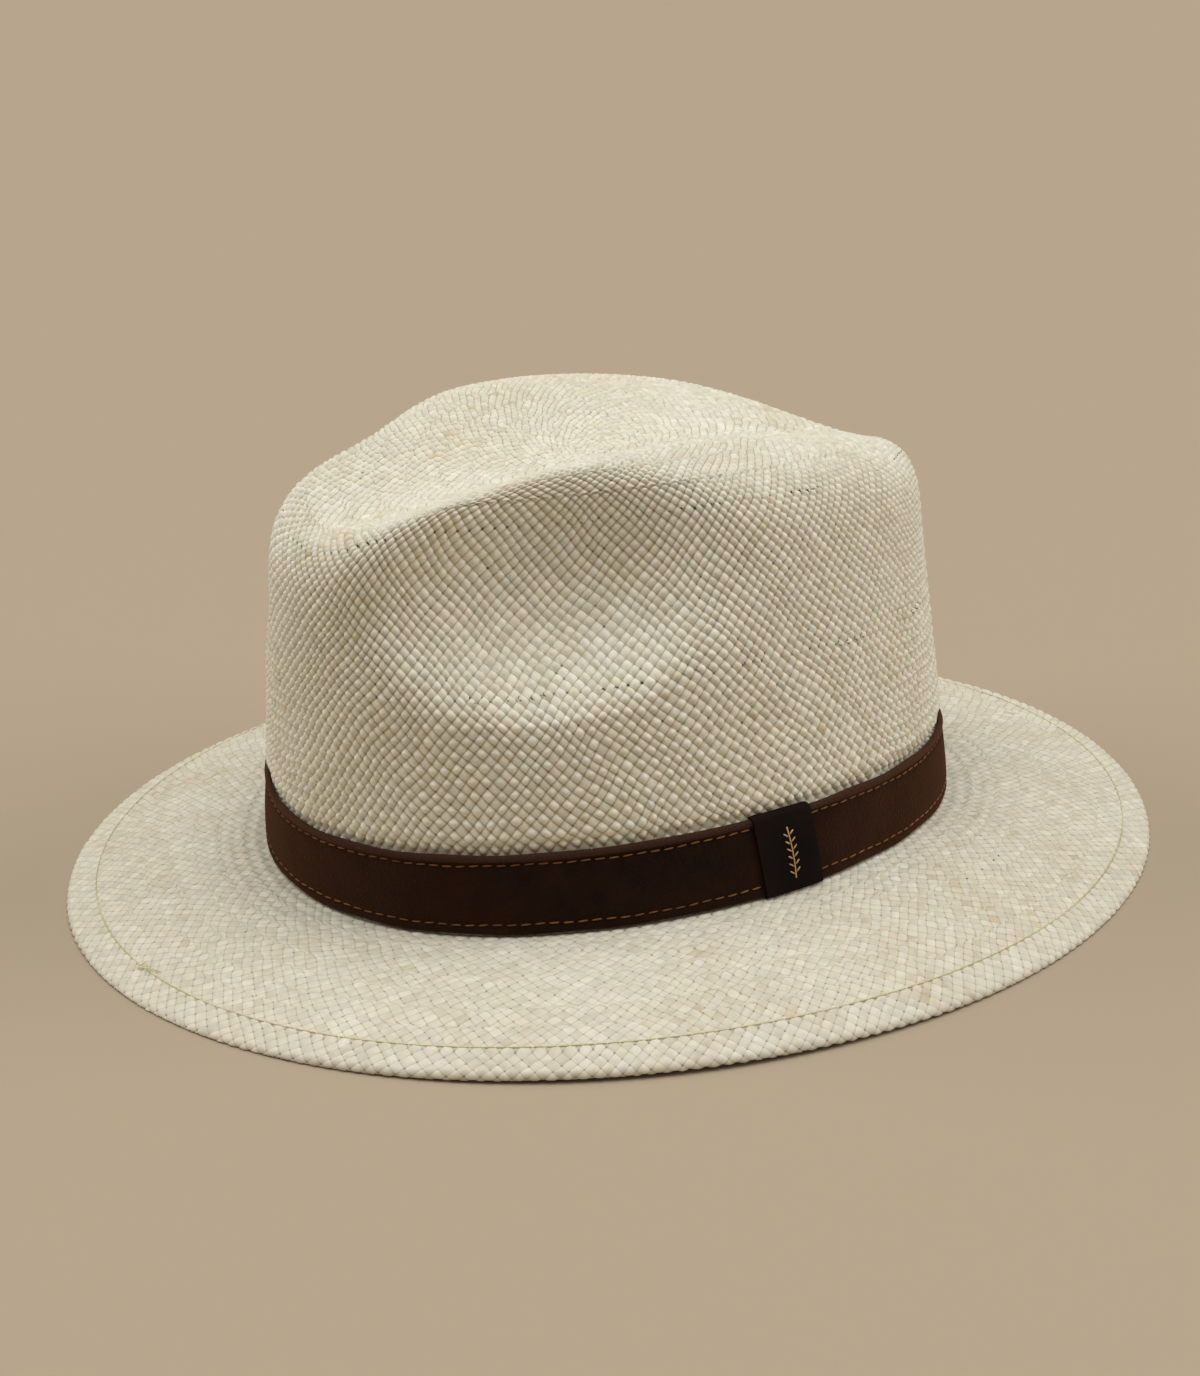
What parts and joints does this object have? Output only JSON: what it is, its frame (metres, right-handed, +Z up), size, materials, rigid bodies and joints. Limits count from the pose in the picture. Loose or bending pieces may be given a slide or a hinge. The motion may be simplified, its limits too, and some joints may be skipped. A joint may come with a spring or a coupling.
{
  "type": "panama hat",
  "caption": "Woven straw hat with a pinched teardrop crown, a suede band with a ribbon keeper, a turned brim hem and a leather sweatband.",
  "frame": {"origin": "centre of the brim's outline, on the surface that the brim rests on", "axes": "+Z up through the crown, -Y the front of the hat, +X the wearer's left"},
  "size_m": [0.2816, 0.3322, 0.1305],
  "materials": {
    "straw": "bleached toquilla straw, plain weave",
    "hem_thread": "cotton thread",
    "suede": "dark brown suede",
    "lining": "cotton backing",
    "band_thread": "waxed tan thread",
    "ribbon": "ribbed ribbon",
    "gold_thread": "metallic gold thread",
    "sweatband_leather": "smooth brown leather",
    "reed": "translucent reed",
    "tape": "cotton tape",
    "sweatband_thread": "cotton thread",
    "label": "woven label, blank"
  },
  "bodies": {
    "root": {"straw_body": "straw", "hem_thread": "hem_thread", "outer_band": "suede", "band_lining": "lining", "band_stitching_lower": "band_thread", "band_stitching_upper": "band_thread", "keeper_loop": "ribbon", "keeper_motif": "gold_thread", "sweatband": "sweatband_leather", "sweatband_reed": "reed", "reed_tape": "tape", "sweatband_stitching": "sweatband_thread", "sweatband_seam_tab": "tape", "sweatband_seam_stitching": "sweatband_thread", "rear_bow": "ribbon", "size_label": "label", "band_tack_front": "hem_thread", "band_tack_left": "hem_thread", "band_tack_rear": "hem_thread", "band_tack_right": "hem_thread"}
  },
  "joints": []
}
